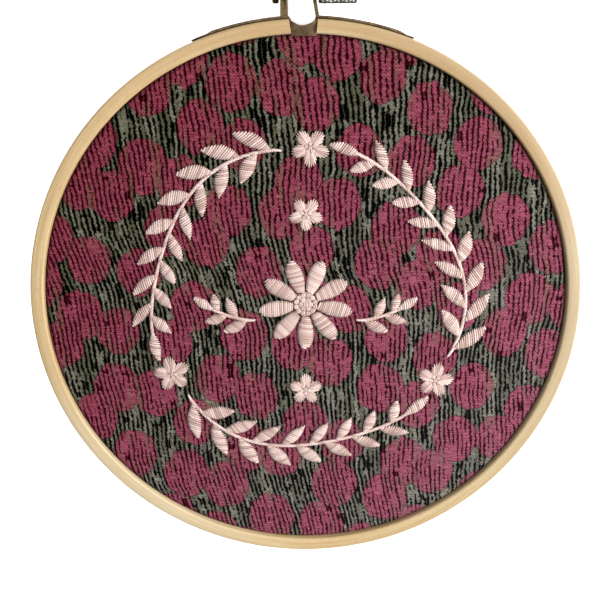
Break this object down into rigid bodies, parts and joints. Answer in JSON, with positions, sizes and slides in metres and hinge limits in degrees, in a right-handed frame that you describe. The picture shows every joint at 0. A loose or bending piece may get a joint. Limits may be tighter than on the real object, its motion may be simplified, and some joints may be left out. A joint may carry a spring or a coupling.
{
  "type": "embroidered cloth in a wooden screw hoop",
  "caption": "Round printed cotton stretched in a split wooden embroidery hoop with a small metal screw clamp, stitched with a leafy wreath and a flower.",
  "frame": {"origin": "under the middle of the whole part, on the surface that the back of the inner ring rests on", "axes": "+Z out of the cloth's face, +Y towards the screw clamp, +X to the right as the face is seen"},
  "size_m": [0.187, 0.1994, 0.0118],
  "materials": {
    "wood": "plain sanded beech",
    "cotton": "printed plain-weave cotton",
    "metal": "dull antiqued brass",
    "thread": "satin-stitched thread"
  },
  "bodies": {
    "root": {"outer_ring": "wood", "inner_ring": "wood", "cloth": "cotton", "clamp": "metal", "screw": "metal", "nut": "metal", "sprig_a": "thread", "sprig_b": "thread", "sprig_c": "thread", "blossom_a": "thread", "blossom_b": "thread", "blossom_c": "thread", "blossom_d": "thread", "blossom_e": "thread", "daisy": "thread", "daisy_eye": "thread", "twig_l": "thread", "twig_r": "thread"}
  },
  "joints": []
}
